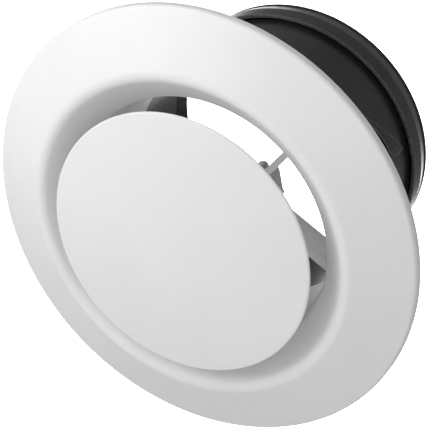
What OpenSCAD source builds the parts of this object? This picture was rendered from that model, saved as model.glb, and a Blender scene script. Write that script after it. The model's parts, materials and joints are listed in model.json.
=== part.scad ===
// Ceiling air diffuser: a disc valve on a three-arm bridge, locked into a black duct collar.
// +Z points up along the duct, the origin is on the axis in the ceiling's lower surface,
// and the visible face looks down along -Z.

/* [Collar] */
// Outer diameter of the collar's tube
tube_d = 92.8; // [60:0.1:200]
// Wall of the tube
tube_t = 1.1; // [0.8:0.1:2]
// Height of the step where the tube widens into the duct band
step_z = 59.4; // [50:0.2:120]
// Height of the duct band above the step
band_h = 11.2; // [10:0.2:40]
// How far the band stands out from the tube
band_step = 2.1; // [1.6:0.1:5]
// Wall of the band, at its thickest
band_t = 2.3; // [1.8:0.1:3]
// Width of the flange that is screwed to the ceiling
plate_w = 11.6; // [10:0.1:16]
// Thickness of that flange
plate_t = 1.5; // [1:0.1:2.5]
// Diameter of its four screw holes
screw_d = 4.2; // [3:0.1:5]

/* [Front ring] */
// Width of the face ring beyond the collar's tube
ring_w = 28.6; // [26:0.1:60]
// Depth of the face's crest below the ceiling
crest_h = 10; // [8:0.1:14]
// Distance from the mouth's narrowest bore out to the crest
crest_w = 11; // [9:0.1:16]
// Depth of the face's outer edge below the ceiling
edge_h = 3; // [2.6:0.1:4]
// Wall of the face
face_t = 1.8; // [1.2:0.1:2.5]
// Radius of the crest's rounding
crest_round = 4; // [3:0.1:6]
// Height of the spigot's rear rim
spigot_h = 34.5; // [30:0.5:48]
// Wall of the spigot
spigot_t = 1.4; // [1:0.1:2.4]
// Radial gap between the spigot and the collar
spigot_gap = 0.9; // [0.8:0.05:1.5]

/* [Bridge] */
// Thickness of the arms
arm_t = 2.3; // [1.6:0.1:3]
// Depth of the arms along the axis
arm_h = 10.8; // [9:0.1:14]
// Distance from the axis to the middle of the offset arm
arm_offset = 2.3; // [0:0.1:3]
// Radius of the hub
hub_r = 7; // [6:0.1:9]

/* [Disc and spindle] */
// How far the disc reaches past the mouth's narrowest bore
disc_lap = 1; // [0.5:0.1:3]
// Depth of the disc's rim below the ceiling
disc_drop = 14.1; // [12:0.1:24]
// Height of the disc's crown
disc_crown = 2.6; // [1:0.1:5]
// Wall of the disc
disc_t = 1.8; // [1.2:0.1:2.6]
// Outer diameter of the spindle's thread
spindle_d = 4; // [3:0.1:5]
// Length of the spindle
spindle_l = 57.8; // [50:0.1:90]

/* [Hidden] */
$fn = 160;
cut = 0.5;                      // how far a cut runs past the face it opens
sink = 0.2;                     // how far joined shapes of one piece sink into each other
running = 0.05;                 // gap of a thread or washer that turns on the spindle
slip = 0.3;                     // gap between pieces that pass each other

tube_ro = tube_d / 2;
tube_ri = tube_ro - tube_t;
band_ro = tube_ro + band_step;
band_ri = band_ro - band_t;
band_top = step_z + band_h;
step_t = 1.6;
skirt_t = 0.9;                  // the band's front edge stands clear of the tube as a thin skirt
skirt_h = 3;
taper = 1.1;                    // how much the band narrows towards its rear edge
taper_z = step_z + 6;
flare_h = 6;                    // height over which the collar's mouth narrows
flare = 3.2;                    // how much it narrows
plate_r = tube_ro + plate_w;
screw_r = plate_r - 5;
screw_count = 4;
sleeve_t = 0.6;                 // rubber inside the band
sleeve_z = step_z + skirt_h + step_t + 1;
seal_h = 1.6;                   // rubber lip on the band's rear edge
seal_out = 0.2;
ramp_a = -56;                   // direction of the first ramp's proud end
ramp_h = 2.2;                   // how far that end stands out
ramp_w = 18.4;
ramp_z = step_z - 18.8;
ramp_shift = 17.5;              // offset of the ramp's round face from the axis

spigot_ro = tube_ri - spigot_gap;
spigot_ri = spigot_ro - spigot_t;
throat_r = spigot_ri + 1.3;     // narrowest bore of the rounded mouth
ring_r = tube_ro + ring_w;
throat_round = 3;               // rounding between the mouth's cone and its bore
cone_a = 45;                    // slope of the mouth's cone
crest_x = throat_r + crest_w;   // centre of the crest's rounding
crest_z = crest_round - crest_h;
throat_x = throat_r + throat_round;
throat_z = crest_z + (crest_round - throat_round) * -cos(cone_a)
    + (crest_x - throat_x - (crest_round - throat_round) * sin(cone_a)) * tan(cone_a);
edge_r = 1.5;                   // rounding of the face's outer edge
edge_x = ring_r - edge_r;
edge_z = edge_r - edge_h;
face_a = atan2(edge_z - crest_z, edge_x - crest_x)
    + asin((crest_round - edge_r) / norm([edge_x - crest_x, edge_z - crest_z]));
lip_t = 1.6;
crest_back = crest_round - face_t;
gasket_r = ring_r - lip_t - 0.5;
gasket_ri = gasket_r - 5;
spigot_seal_z = 28;
spigot_seal_h = 4;

lug_z = 22;                     // bayonet lugs on the spigot
lug_h = 2;
lug_half = 6;
lug_first = 50;
rib_half = 18;                  // ribs in the collar that carry the lugs
rib_h = 1.6;
rib_gap = 0.4;
rib_z = lug_z - rib_gap - rib_h;

arm_top = spigot_h - 0.4;
arm_low = arm_top - arm_h;
arm_a = -90;
arm_b = -9.5;
arm_c = 131;
tower_x = 3.75;                 // inner face of the gussets
tower_h = 13.2;
tower_w = 7.85;                 // radial width of a gusset at its foot
tower_foot = 4.8;               // straight height of its outer edge above the arm
tower_cut = 1.4;                // bevels at its two outer corners
tower_point = 1.15;
web_in = 0.55;                  // curved web between the gussets
web_t = 0.9;
web_drop = 2.7;
hub_top = arm_top - 1.1;
hub_low = hub_top - 12;
nut_seat = hub_low + 4;
nut_af = 7;
nut_h = 3.2;
washer_t = 0.8;
washer_r = 4.5;

rim_r = 0.6;                    // rounding of the disc's rim
disc_r = throat_r + disc_lap;
rim_x = disc_r - rim_r;
disc_front = -disc_drop - rim_r;
crown_z = disc_front - disc_crown;
crown_sphere = (pow(rim_x, 2) + pow(disc_crown, 2)) / (2 * disc_crown);
boss_r = 5;
boss_top = -disc_drop + 9.1;
socket_z = boss_top - 8;        // bottom of the boss's bore
insert_r = 3.1;
insert_top = boss_top - 0.2;
spindle_r = spindle_d / 2;
spindle_top = socket_z + spindle_l;

white = [0.93, 0.93, 0.92];
black = [0.07, 0.07, 0.075];
steel = [0.72, 0.73, 0.75];
brass = [0.8, 0.65, 0.3];
rubber = [0.05, 0.05, 0.05];
foam = [0.25, 0.25, 0.26];

// Points along an arc of a profile
function arc(x, z, r, a0, a1, n) =
    [for (i = [0:n]) let (a = a0 + (a1 - a0) * i / n) [x + r * cos(a), z + r * sin(a)]];

// Height of the face's back surface at radius r
function back_z(r) = crest_z - (crest_round - face_t) * cos(face_a)
    + (r - crest_x - (crest_round - face_t) * sin(face_a)) * tan(face_a);

// Height of the disc's front at radius r
function crown(r) = crown_z + crown_sphere - sqrt(pow(crown_sphere, 2) - pow(r, 2));

module tube(r0, r1, z0, z1) {
    rotate_extrude()
        translate([r0, z0])
            square([r1 - r0, z1 - z0]);
}

module sector(r0, r1, z0, z1, a0, a1) {
    rotate([0, 0, a0])
        rotate_extrude(angle = a1 - a0)
            translate([r0, z0])
                square([r1 - r0, z1 - z0]);
}

module hexagon(af, z, h) {
    translate([0, 0, z])
        rotate([0, 0, arm_b + 30])
            cylinder(d = af / cos(30), h = h, $fn = 6);
}

// Hexagonal nut with chamfered corners
module nut(z, bore) {
    corner = nut_af / 2 / cos(30);
    bevel = corner - nut_af / 2;
    difference() {
        intersection() {
            hexagon(nut_af, z, nut_h);
            rotate_extrude()
                polygon([[0, z], [nut_af / 2, z],
                         [corner, z + bevel], [corner, z + nut_h - bevel],
                         [nut_af / 2, z + nut_h], [0, z + nut_h]]);
        }
        translate([0, 0, z - cut])
            cylinder(r = bore, h = nut_h + 2 * cut, $fn = 64);
    }
}

// One arm: its middle plane lies side away from the axis, and x runs outwards
module arm(direction, side, grow, h) {
    rotate([0, 0, direction])
        translate([tower_x, side - arm_t / 2 - grow, arm_low])
            cube([tube_ro, arm_t + 2 * grow, h]);
}

module tower(direction, side) {
    rotate([0, 0, direction])
        translate([0, side + arm_t / 2, 0])
            rotate([90, 0, 0])
                linear_extrude(arm_t)
                    polygon([[tower_x, hub_top - 1],
                             [tower_x + tower_w, hub_top - 1],
                             [tower_x + tower_w, arm_top + tower_foot],
                             [tower_x + tower_w - tower_cut, arm_top + tower_foot + 0.9],
                             [tower_x + tower_point, arm_top + tower_h - 0.8],
                             [tower_x, arm_top + tower_h]]);
}

module arms(grow, h) {
    arm(arm_a, arm_offset, grow, h);
    arm(arm_b, 0, grow, h);
    arm(arm_c, 0, grow, h);
}

// White face, rounded mouth and spigot in one moulding, notched for the bridge
module front_ring() {
    color(white)
        difference() {
            union() {
                rotate_extrude()
                    polygon(concat(
                        [[spigot_ri, spigot_h], [spigot_ri, flare_h]],
                        arc(throat_x, throat_z, throat_round, 180, 270 - cone_a, 10),
                        arc(crest_x, crest_z, crest_round, 270 - cone_a, 270 + face_a, 20),
                        arc(edge_x, edge_z, edge_r, 270 + face_a, 360, 8),
                        [[ring_r, 0], [ring_r - lip_t, 0]],
                        [[ring_r - lip_t, back_z(ring_r - lip_t)]],
                        arc(crest_x, crest_z, crest_back, 270 + face_a, 270 - cone_a, 12),
                        arc(throat_x, throat_z, throat_round - face_t, 270 - cone_a, 180, 6),
                        [[spigot_ro, flare_h - 1], [spigot_ro, spigot_h]]));
                for (k = [0:2])
                    rotate([0, 0, lug_first + 120 * k])
                        sector(spigot_ro - sink, tube_ri - slip, lug_z, lug_z + lug_h,
                               -lug_half, lug_half);
            }
            arms(running, arm_h + cut);
        }
}

// Bridge: three thin arms, gussets round the spindle, and a hub with a pocket for the nut
module bridge() {
    color(white)
        difference() {
            union() {
                intersection() {
                    arms(0, arm_h);
                    cylinder(r = spigot_ro - running, h = spigot_h);
                }
                tower(arm_a, arm_offset);
                tower(arm_b, 0);
                sector(tower_x + web_in, tower_x + web_in + web_t, hub_top - 1,
                       arm_top + tower_h - web_drop, arm_a + 20, arm_b);
                translate([0, 0, hub_low])
                    cylinder(r = hub_r, h = hub_top - hub_low);
            }
            translate([0, 0, hub_low - cut])
                cylinder(r = spindle_r + slip, h = hub_top, $fn = 64);
            hexagon(nut_af + 2 * running, nut_seat, spigot_h + tower_h);
        }
}

module hub_nut() {
    color(steel)
        nut(nut_seat, spindle_r + running);
}

// Foam strip between the face's outer edge and the ceiling
module face_gasket() {
    color(foam)
        rotate_extrude()
            polygon([[gasket_ri, back_z(gasket_ri)], [gasket_r, back_z(gasket_r)],
                     [gasket_r, 0], [gasket_ri, 0]]);
}

// Foam band round the spigot
module spigot_seal() {
    color(foam)
        tube(spigot_ro, tube_ri - slip, spigot_seal_z, spigot_seal_z + spigot_seal_h);
}

// Raised ramp that bites into the duct: flush at its point and proud at its rounded end
module ramp() {
    rotate([0, 0, ramp_a])
        difference() {
            intersection() {
                rotate([90, 0, 90])
                    linear_extrude(band_ro)
                        polygon(concat([[-ramp_w, ramp_z], [0, ramp_z + 12], [0, ramp_z + 7]],
                                       arc(-4, ramp_z + 7, 4, 0, -90, 8)));
                translate([ramp_shift, 0, 0])
                    cylinder(r = tube_ro + ramp_h - ramp_shift, h = step_z);
            }
            cylinder(r = tube_ro - sink, h = step_z);
        }
}

// Black collar: screw flange, flared mouth, tube, step and duct band, with bayonet ribs inside
module collar() {
    edge = 0.3;
    shelf_z = step_z + skirt_h;
    color(black)
        difference() {
            union() {
                rotate_extrude()
                    polygon([[tube_ri + flare, -plate_t], [tube_ri + flare, 0],
                             [tube_ri, flare_h], [tube_ri, shelf_z + step_t],
                             [band_ri, shelf_z + step_t], [band_ri, band_top],
                             [band_ro - taper, band_top], [band_ro, taper_z],
                             [band_ro, step_z + edge], [band_ro - edge, step_z],
                             [band_ro - skirt_t, step_z], [band_ro - skirt_t, shelf_z],
                             [tube_ro, shelf_z], [tube_ro, flare_h],
                             [tube_ro + flare + 0.4, 0], [plate_r, 0],
                             [plate_r, edge - plate_t], [plate_r - edge, -plate_t]]);
                for (k = [0:2])
                    rotate([0, 0, 120 * k])
                        ramp();
                for (k = [0:2])
                    rotate([0, 0, lug_first + 120 * k]) {
                        sector(spigot_ro + slip, tube_ri + sink, rib_z, lug_z - rib_gap,
                               -rib_half, rib_half);
                        sector(spigot_ro + slip, tube_ri + sink, rib_z, lug_z + lug_h,
                               -rib_half, -lug_half - 1);
                    }
            }
            for (k = [0:screw_count - 1])
                rotate([0, 0, 45 + 360 / screw_count * k])
                    translate([screw_r, 0, -plate_t - cut])
                        cylinder(d = screw_d, h = plate_t + 2 * cut, $fn = 64);
        }
}

// Rubber sleeve in the band, turned out over its rear edge
module duct_seal() {
    rear_r = band_ro - taper + seal_out;
    color(rubber)
        rotate_extrude()
            polygon([[band_ri - sleeve_t, sleeve_z], [band_ri, sleeve_z], [band_ri, band_top],
                     [rear_r, band_top], [rear_r, band_top + seal_h - 0.4],
                     [rear_r - 0.4, band_top + seal_h], [band_ri - sleeve_t, band_top + seal_h]]);
}

// Crowned disc with a rolled rim, six ribs and a boss on its back
module disc() {
    inner = rim_x - 3;
    front = [for (i = [0:16]) let (r = rim_x * i / 16) [r, crown(r)]];
    back = [for (i = [0:16]) let (r = inner * (16 - i) / 16) [r, crown(r) + disc_t]];
    color(white)
        difference() {
            union() {
                rotate_extrude()
                    polygon(concat(front, arc(rim_x, -disc_drop, rim_r, -80, 90, 12), back));
                translate([0, 0, crown_z + disc_t / 2])
                    cylinder(r = boss_r, h = boss_top - crown_z - disc_t / 2, $fn = 64);
                for (a = [0:60:300])
                    rotate([0, 0, a])
                        translate([0, 0.6, 0])
                            rotate([90, 0, 0])
                                linear_extrude(1.2)
                                    polygon([[boss_r - 1, crown(boss_r) + disc_t / 2],
                                             [inner - 2, crown(inner - 2) + disc_t / 2],
                                             [inner - 2, crown(inner - 2) + disc_t + 1.2],
                                             [boss_r - 1, boss_top - 6]]);
            }
            translate([0, 0, socket_z])
                cylinder(r = insert_r, h = boss_top - socket_z + cut, $fn = 64);
        }
}

module disc_insert() {
    color(brass)
        tube(spindle_r, insert_r, socket_z, insert_top);
}

module spindle() {
    color(steel)
        rotate_extrude($fn = 64)
            polygon([[0, socket_z], [spindle_r, socket_z], [spindle_r, spindle_top - 0.5],
                     [spindle_r - 0.5, spindle_top], [0, spindle_top]]);
}

module disc_nut() {
    color(steel)
        nut(boss_top + washer_t + 2 * running, spindle_r);
}

module disc_washer() {
    color(steel)
        tube(spindle_r + running, washer_r, boss_top + running, boss_top + running + washer_t);
}

module lock_washer() {
    color(steel)
        tube(spindle_r + running, washer_r, hub_low - running - washer_t, hub_low - running);
}

module lock_nut() {
    color(steel)
        nut(hub_low - 2 * running - washer_t - nut_h, spindle_r + running);
}

front_ring();
bridge();
hub_nut();
face_gasket();
spigot_seal();
collar();
duct_seal();
disc();
disc_insert();
spindle();
disc_nut();
disc_washer();
lock_washer();
lock_nut();
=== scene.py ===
"""Ceiling air diffuser seen from below: white face ring and disc, black duct collar."""
import math
import bpy
import bmesh
import json
from mathutils import Matrix, Vector


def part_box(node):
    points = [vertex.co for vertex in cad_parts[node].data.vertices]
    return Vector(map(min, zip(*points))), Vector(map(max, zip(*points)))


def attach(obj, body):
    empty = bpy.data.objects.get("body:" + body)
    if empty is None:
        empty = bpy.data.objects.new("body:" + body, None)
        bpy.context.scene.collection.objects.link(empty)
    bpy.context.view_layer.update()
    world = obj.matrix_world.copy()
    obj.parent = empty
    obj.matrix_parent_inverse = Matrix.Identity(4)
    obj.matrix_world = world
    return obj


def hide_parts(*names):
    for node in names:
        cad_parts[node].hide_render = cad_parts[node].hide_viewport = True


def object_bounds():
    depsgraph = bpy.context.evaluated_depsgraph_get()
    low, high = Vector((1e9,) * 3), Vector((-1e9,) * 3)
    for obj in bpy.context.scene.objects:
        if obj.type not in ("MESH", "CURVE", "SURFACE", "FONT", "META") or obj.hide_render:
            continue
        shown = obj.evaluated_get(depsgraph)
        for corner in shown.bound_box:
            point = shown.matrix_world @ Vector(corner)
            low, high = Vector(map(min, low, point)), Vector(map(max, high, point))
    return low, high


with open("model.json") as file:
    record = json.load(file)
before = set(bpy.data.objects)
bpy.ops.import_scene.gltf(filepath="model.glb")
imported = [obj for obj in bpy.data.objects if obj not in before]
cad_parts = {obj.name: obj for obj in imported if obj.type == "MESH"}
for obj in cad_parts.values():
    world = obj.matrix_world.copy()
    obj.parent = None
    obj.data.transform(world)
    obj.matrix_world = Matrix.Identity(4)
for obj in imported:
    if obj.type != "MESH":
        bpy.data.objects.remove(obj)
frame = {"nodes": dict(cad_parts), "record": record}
cad_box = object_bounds()

MM = 0.001
GLOW = (0, 0.6555, 0.7552)      # direction of the bright side of the studio
GLOW_STRENGTH = 3.6
GLOW_OUTER = math.radians(34)   # the glow starts at this angle from its direction
GLOW_INNER = math.radians(14)   # and is full inside this one
DOME = 0.29                     # brightness of the rest of the studio
FLOOR_DROP = 1.0                # floor below the part, out of the camera's view
THREAD_PITCH = 0.7 * MM         # M4
THREAD_CHAMFER = 0.5 * MM
CAMERA_PLACE = (0.000885, -0.3439, -0.3887)
CAMERA_RIGHT = (0.6849, -0.5503, 0.4777)
CAMERA_BACK = (0, -0.6555, -0.7552)
LENS = 135.9
MIX_A, MIX_B, MIX_OUT = 6, 7, 2   # the colour sockets of a mix node


# ---------------------------------------------------------------- materials

def new_material(name, color, roughness, metallic=0.0):
    """A principled material with the uniform values set on the shader's own sockets."""
    mat = bpy.data.materials.new(name)
    mat.use_nodes = True
    shader = mat.node_tree.nodes["Principled BSDF"]
    shader.inputs["Base Color"].default_value = (*color, 1)
    shader.inputs["Roughness"].default_value = roughness
    shader.inputs["Metallic"].default_value = metallic
    return mat, mat.node_tree, shader


def noise(tree, scale, detail, stretch=(1, 1, 1)):
    """Noise in object coordinates, which all are metres in the CAD frame."""
    coord = tree.nodes.new("ShaderNodeTexCoord")
    mapping = tree.nodes.new("ShaderNodeMapping")
    mapping.inputs["Scale"].default_value = stretch
    tex = tree.nodes.new("ShaderNodeTexNoise")
    tex.inputs["Scale"].default_value = scale
    tex.inputs["Detail"].default_value = detail
    tree.links.new(coord.outputs["Object"], mapping.inputs["Vector"])
    tree.links.new(mapping.outputs["Vector"], tex.inputs["Vector"])
    return tex.outputs["Fac"]


def vary(tree, fac, low, high, socket):
    """Drives a number between low and high with a texture."""
    span = tree.nodes.new("ShaderNodeMapRange")
    span.inputs["From Min"].default_value = 0.3
    span.inputs["From Max"].default_value = 0.7
    span.inputs["To Min"].default_value = low
    span.inputs["To Max"].default_value = high
    tree.links.new(fac, span.inputs["Value"])
    tree.links.new(span.outputs["Result"], socket)


def tint(tree, fac, dark, light, socket):
    """Mixes two near colours with a texture."""
    ramp = tree.nodes.new("ShaderNodeValToRGB")
    ramp.color_ramp.elements[0].position = 0.35
    ramp.color_ramp.elements[0].color = (*dark, 1)
    ramp.color_ramp.elements[1].position = 0.65
    ramp.color_ramp.elements[1].color = (*light, 1)
    tree.links.new(fac, ramp.inputs["Fac"])
    tree.links.new(ramp.outputs["Color"], socket)


def bump(tree, shader, fac, strength, depth):
    node = tree.nodes.new("ShaderNodeBump")
    node.inputs["Strength"].default_value = strength
    node.inputs["Distance"].default_value = depth
    tree.links.new(fac, node.inputs["Height"])
    tree.links.new(node.outputs["Normal"], shader.inputs["Normal"])


def painted_edge_highlight(tree, shader, socket_name, light, radius):
    """Paints a highlight into the colour along the sharp edges of a moulding, standing in for light
    caught on their rounding: where a rounded normal leaves the flat one.
    """
    rounded = tree.nodes.new("ShaderNodeBevel")
    rounded.samples = 6
    rounded.inputs["Radius"].default_value = radius
    flat = tree.nodes.new("ShaderNodeNewGeometry")
    dot = tree.nodes.new("ShaderNodeVectorMath")
    dot.operation = "DOT_PRODUCT"
    tree.links.new(rounded.outputs["Normal"], dot.inputs[0])
    tree.links.new(flat.outputs["Normal"], dot.inputs[1])
    span = tree.nodes.new("ShaderNodeMapRange")
    span.inputs["From Min"].default_value = 0.96
    span.inputs["From Max"].default_value = 0.85
    tree.links.new(dot.outputs["Value"], span.inputs["Value"])
    mix = tree.nodes.new("ShaderNodeMix")
    mix.data_type = "RGBA"
    source = shader.inputs[socket_name].links[0].from_socket
    tree.links.new(span.outputs["Result"], mix.inputs[0])
    tree.links.new(source, mix.inputs[MIX_A])
    mix.inputs[MIX_B].default_value = (*light, 1)
    tree.links.new(mix.outputs[MIX_OUT], shader.inputs[socket_name])


def white_plastic():
    """Satin ABS: fine moulded grain, faint flow clouds, uneven gloss."""
    mat, tree, shader = new_material("white_plastic", (0.86, 0.86, 0.855), 0.42)
    shader.inputs["IOR"].default_value = 1.5
    shader.inputs["Subsurface Weight"].default_value = 0.06
    shader.inputs["Subsurface Radius"].default_value = (1, 0.9, 0.85)
    shader.inputs["Subsurface Scale"].default_value = 0.0015
    clouds = noise(tree, 28, 3)
    tint(tree, clouds, (0.85, 0.85, 0.845), (0.875, 0.875, 0.87), shader.inputs["Base Color"])
    vary(tree, noise(tree, 160, 2), 0.38, 0.48, shader.inputs["Roughness"])
    bump(tree, shader, noise(tree, 2600, 2), 0.06, 0.00008)
    return mat


def black_plastic():
    """Semi-gloss black ABS: fine grain and a faint drag along the tube."""
    mat, tree, shader = new_material("black_plastic", (0.016, 0.016, 0.018), 0.34)
    shader.inputs["IOR"].default_value = 1.5
    tint(tree, noise(tree, 60, 3), (0.013, 0.013, 0.015), (0.022, 0.022, 0.025),
         shader.inputs["Base Color"])
    # painted highlight: a lighter grey colour along the sharp edges, standing in for light caught on
    # them
    painted_edge_highlight(tree, shader, "Base Color", (0.3, 0.3, 0.305), 0.0005)
    vary(tree, noise(tree, 90, 3, (1, 1, 0.2)), 0.2, 0.32, shader.inputs["Roughness"])
    bump(tree, shader, noise(tree, 1800, 3), 0.12, 0.0001)
    return mat


def rubber():
    mat, tree, shader = new_material("black_rubber", (0.012, 0.012, 0.012), 0.6)
    tint(tree, noise(tree, 120, 3), (0.009, 0.009, 0.009), (0.018, 0.018, 0.018),
         shader.inputs["Base Color"])
    vary(tree, noise(tree, 300, 2), 0.5, 0.7, shader.inputs["Roughness"])
    bump(tree, shader, noise(tree, 2200, 3), 0.2, 0.0001)
    return mat


def foam():
    """Closed-cell foam: small pits from cells."""
    mat, tree, shader = new_material("grey_foam", (0.07, 0.07, 0.075), 0.9)
    coord = tree.nodes.new("ShaderNodeTexCoord")
    cells = tree.nodes.new("ShaderNodeTexVoronoi")
    cells.inputs["Scale"].default_value = 1500
    tree.links.new(coord.outputs["Object"], cells.inputs["Vector"])
    tint(tree, cells.outputs["Distance"], (0.05, 0.05, 0.055), (0.1, 0.1, 0.105),
         shader.inputs["Base Color"])
    bump(tree, shader, cells.outputs["Distance"], 0.7, 0.0003)
    return mat


def zinc():
    """Zinc-plated steel: bluish, slightly blotchy."""
    mat, tree, shader = new_material("zinc_steel", (0.6, 0.61, 0.63), 0.32, 1.0)
    tint(tree, noise(tree, 240, 4), (0.5, 0.51, 0.53), (0.66, 0.67, 0.68), shader.inputs["Base Color"])
    vary(tree, noise(tree, 500, 3), 0.25, 0.42, shader.inputs["Roughness"])
    bump(tree, shader, noise(tree, 1500, 3), 0.1, 0.00005)
    return mat


def brass_metal():
    mat, tree, shader = new_material("brass", (0.72, 0.5, 0.22), 0.3, 1.0)
    tint(tree, noise(tree, 260, 4), (0.62, 0.43, 0.18), (0.78, 0.57, 0.28), shader.inputs["Base Color"])
    vary(tree, noise(tree, 600, 3), 0.24, 0.4, shader.inputs["Roughness"])
    bump(tree, shader, noise(tree, 1500, 3), 0.1, 0.00005)
    return mat


MATERIALS = {"white_plastic": white_plastic(), "black_plastic": black_plastic(),
             "black_rubber": rubber(), "grey_foam": foam(), "zinc_steel": zinc(),
             "brass": brass_metal()}

NODE_SLOT = {entry["node"]: entry["material_slot"] for entry in frame["record"]["subparts"]}


def paint(obj, slot):
    obj.data.materials.clear()
    obj.data.materials.append(MATERIALS[slot])


for node, obj in frame["nodes"].items():
    for slot in obj.material_slots:
        slot.material = MATERIALS[NODE_SLOT[node]]


# ---------------------------------------------------------------- spindle

def thread(name, radius, pitch, z0, z1, tip):
    """A rod with a helical V thread, closed at both ends, whose last stretch tapers to a chamfer."""
    around = 36
    depth = 0.72 * pitch
    rings_per_turn = 8
    rows = int((z1 - z0) / pitch * rings_per_turn)
    bm = bmesh.new()
    grid = []
    for i in range(rows + 1):
        z = z0 + (z1 - z0) * i / rows
        ring = []
        for j in range(around):
            turn = (z - z0) / pitch - j / around
            tooth = abs((turn % 1.0) * 2 - 1)
            r = radius - depth * min(max((tooth - 0.1) / 0.75, 0), 1)
            r = min(r, radius - max(0, z - (z1 - tip)) * 0.9, radius - max(0, (z0 + tip) - z) * 0.9)
            a = math.tau * j / around
            ring.append(bm.verts.new((r * math.cos(a), r * math.sin(a), z)))
        grid.append(ring)
    for low, high in zip(grid, grid[1:]):
        for j in range(around):
            k = (j + 1) % around
            bm.faces.new((low[j], low[k], high[k], high[j]))
    bm.faces.new(grid[0][::-1])
    bm.faces.new(grid[-1])
    mesh = bpy.data.meshes.new(name)
    bm.to_mesh(mesh)
    bm.free()
    for face in mesh.polygons:
        face.use_smooth = len(face.vertices) == 4
    obj = bpy.data.objects.new(name, mesh)
    bpy.context.scene.collection.objects.link(obj)
    return obj


low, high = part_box("spindle")
rod = thread("spindle_thread", (high[0] - low[0]) / 2, THREAD_PITCH,
             low[2], high[2], THREAD_CHAMFER)
paint(rod, "zinc_steel")
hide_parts("spindle")
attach(rod, "disc")


# ---------------------------------------------------------------- floor, light, camera

def floor():
    size = 4
    z = cad_box[0][2] - FLOOR_DROP
    mesh = bpy.data.meshes.new("floor")
    corners = [(-size, -size, z), (size, -size, z), (size, size, z), (-size, size, z)]
    mesh.from_pydata(corners, [], [(0, 1, 2, 3)])
    obj = bpy.data.objects.new("floor", mesh)
    bpy.context.scene.collection.objects.link(obj)
    mat, tree, shader = new_material("floor", (0.8, 0.8, 0.8), 0.8)
    bump(tree, shader, noise(tree, 40, 3), 0.05, 0.001)
    mesh.materials.append(mat)


def aim(obj, place, target):
    obj.location = place
    obj.rotation_euler = (Vector(target) - Vector(place)).to_track_quat("-Z", "Y").to_euler()


def area_light(name, place, size, power):
    data = bpy.data.lights.new(name, "AREA")
    data.shape = "DISK"
    data.size = size
    data.energy = power
    obj = bpy.data.objects.new(name, data)
    bpy.context.scene.collection.objects.link(obj)
    aim(obj, place, (0, 0, 0))
    obj.visible_camera = False


def sky():
    """An even pale dome, with a soft white glow on the side that the camera looks towards."""
    world = bpy.data.worlds.new("studio")
    bpy.context.scene.world = world
    world.use_nodes = True
    tree = world.node_tree
    coord = tree.nodes.new("ShaderNodeTexCoord")
    facing = tree.nodes.new("ShaderNodeVectorMath")
    facing.operation = "DOT_PRODUCT"
    facing.inputs[1].default_value = GLOW
    span = tree.nodes.new("ShaderNodeMapRange")
    span.interpolation_type = "SMOOTHSTEP"
    span.inputs["From Min"].default_value = math.cos(GLOW_OUTER)
    span.inputs["From Max"].default_value = math.cos(GLOW_INNER)
    span.inputs["To Min"].default_value = DOME
    span.inputs["To Max"].default_value = GLOW_STRENGTH
    back = tree.nodes["Background"]
    tree.links.new(coord.outputs["Generated"], facing.inputs[0])
    tree.links.new(facing.outputs["Value"], span.inputs["Value"])
    tree.links.new(span.outputs["Result"], back.inputs["Strength"])
    back.inputs["Color"].default_value = (1, 1, 1, 1)


def camera():
    data = bpy.data.cameras.new("camera")
    data.lens = LENS
    data.sensor_width = 36
    data.clip_start = 0.01
    obj = bpy.data.objects.new("camera", data)
    bpy.context.scene.collection.objects.link(obj)
    right = Vector(CAMERA_RIGHT).normalized()
    back = Vector(CAMERA_BACK).normalized()
    up = back.cross(right)
    turn = Matrix((right, up, back)).transposed()
    obj.matrix_world = Matrix.Translation(CAMERA_PLACE) @ turn.to_4x4()
    bpy.context.scene.camera = obj


floor()
sky()
area_light("key", (-0.3, -0.05, -0.2), 0.3, 0.66)
area_light("fill", (0.06, -0.36, -0.45), 0.3, 0.16)
bpy.context.scene.view_settings.view_transform = "Standard"
camera()
